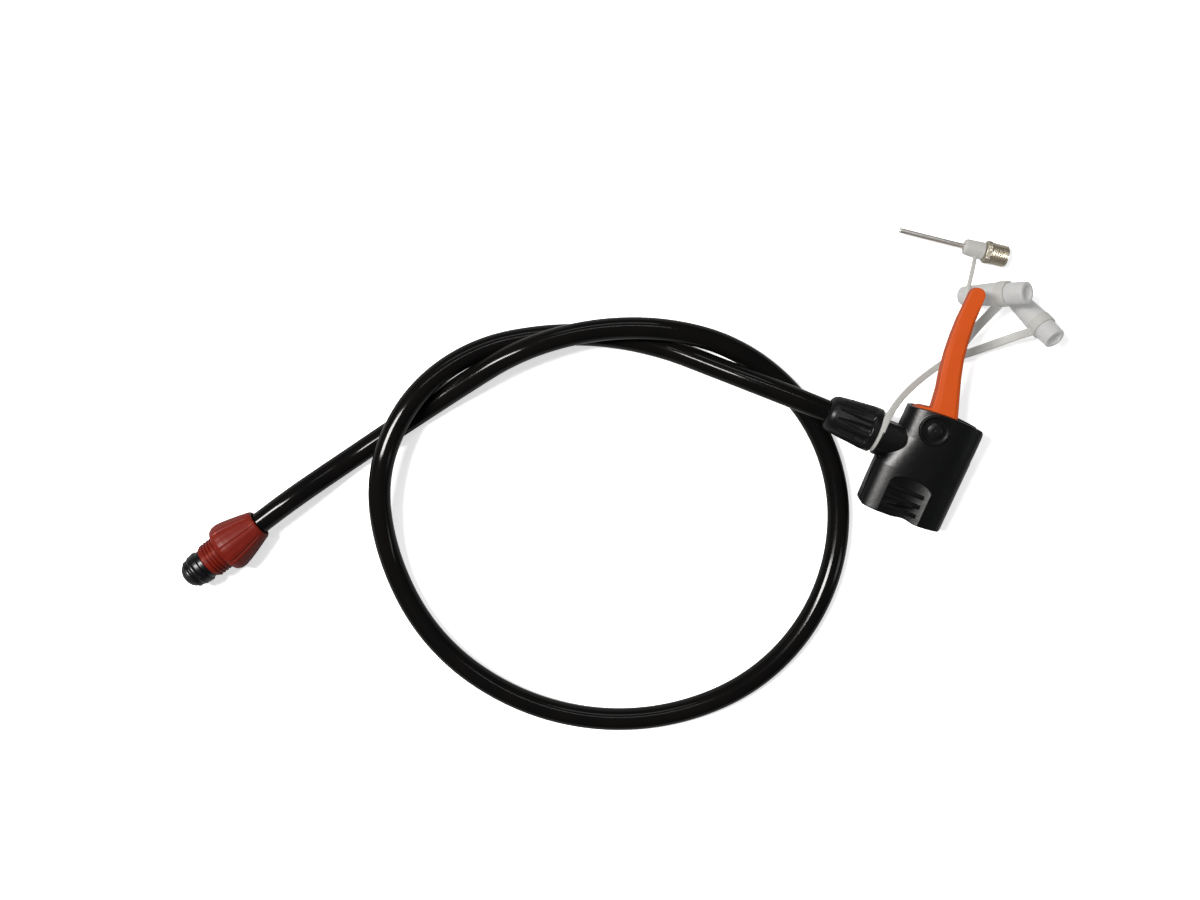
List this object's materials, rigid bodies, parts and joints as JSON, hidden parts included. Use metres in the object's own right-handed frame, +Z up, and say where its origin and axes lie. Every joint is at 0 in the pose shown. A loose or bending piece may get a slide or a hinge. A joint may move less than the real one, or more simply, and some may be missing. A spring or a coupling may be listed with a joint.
{
  "type": "bicycle floor pump hose with lever valve head",
  "caption": "Flexible hose in an open loop, with a lever-lock valve head at one end, a screw-in pump nut at the other, and a tether that carries tapered nozzles and a ball needle",
  "frame": {"origin": "centre of the assembly's bounding box in plan, on the surface it lies on", "axes": "+Z up from the surface; +X from the pump fitting towards the valve head; +Y towards the lever's tip and the needle"},
  "size_m": [0.3094, 0.1794, 0.0261],
  "materials": {
    "black_rubber": "smooth, slightly glossy extruded hose",
    "red_plastic": "moulded, satin sheen",
    "black_plastic": "fine moulded grain",
    "orange_plastic": "moulded, satin sheen",
    "clear_plastic": "milky, slightly see-through",
    "ring_rubber": "smooth",
    "white_plastic": "smooth, machined",
    "brass": "turned",
    "nickel": "nickel plate, turned",
    "steel": "drawn tube, polished"
  },
  "bodies": {
    "hose_and_head": {"hose": "black_rubber", "pump_plug": "black_plastic", "plug_oring_front": "ring_rubber", "plug_oring_rear": "ring_rubber", "pump_ferrule": "brass", "hose_nipple": "brass", "head_body": "black_plastic", "gland_cap": "black_plastic", "valve_gland": "ring_rubber", "gland_washer": "white_plastic", "pivot_pin": "black_plastic", "pivot_retainer": "black_plastic", "tether": "clear_plastic"},
    "screw_nut": {"pump_nut": "red_plastic"},
    "collar": {"collar_nut": "black_plastic"},
    "lever_arm": {"lever": "orange_plastic"},
    "plunger_unit": {"plunger": "white_plastic", "plunger_oring": "ring_rubber", "core_pin": "steel"},
    "long_nozzle": {"nozzle_a": "clear_plastic"},
    "short_nozzle": {"nozzle_b": "clear_plastic"},
    "ball_needle": {"needle_tube": "steel", "needle_base": "nickel"}
  },
  "joints": [
    {"name": "lever_pivot", "type": "hinge", "parent": "hose_and_head", "child": "lever_arm", "pos_m": [0.10859, 0.01832, 0.0145], "axis": [-0.0715, -0.1769, 0.9816], "range_deg": [-90, 0], "stiffness_Nm_per_rad": 0.02},
    {"name": "plunger_slide", "type": "slide", "parent": "hose_and_head", "child": "plunger_unit", "axis": [0.3677, 0.9101, 0.1908], "range_m": [0, 0.0024]},
    {"name": "nut_spin", "type": "hinge", "parent": "hose_and_head", "child": "screw_nut", "pos_m": [-0.13624, -0.02241, 0.009], "axis": [-0.7955, -0.606, 0], "continuous": true},
    {"name": "collar_turn", "type": "hinge", "parent": "hose_and_head", "child": "collar", "pos_m": [0.08399, 0.01937, 0.0129], "axis": [0.9272, -0.3746, 0], "continuous": true},
    {"name": "long_nozzle_turn", "type": "hinge", "parent": "hose_and_head", "child": "long_nozzle", "pos_m": [0.13395, 0.06471, 0.01546], "axis": [0.6408, -0.0504, 0.766], "continuous": true},
    {"name": "short_nozzle_turn", "type": "hinge", "parent": "hose_and_head", "child": "short_nozzle", "pos_m": [0.14812, 0.05417, 0.01214], "axis": [0.4106, -0.6971, 0.5878], "continuous": true},
    {"name": "needle_pull", "type": "slide", "parent": "hose_and_head", "child": "ball_needle", "axis": [0.9703, -0.2419, 0], "range_m": [0, 0.036]}
  ],
  "couplings": [
    {"joint": "plunger_slide", "follows": "lever_pivot", "m_per_rad": -0.001528}
  ]
}
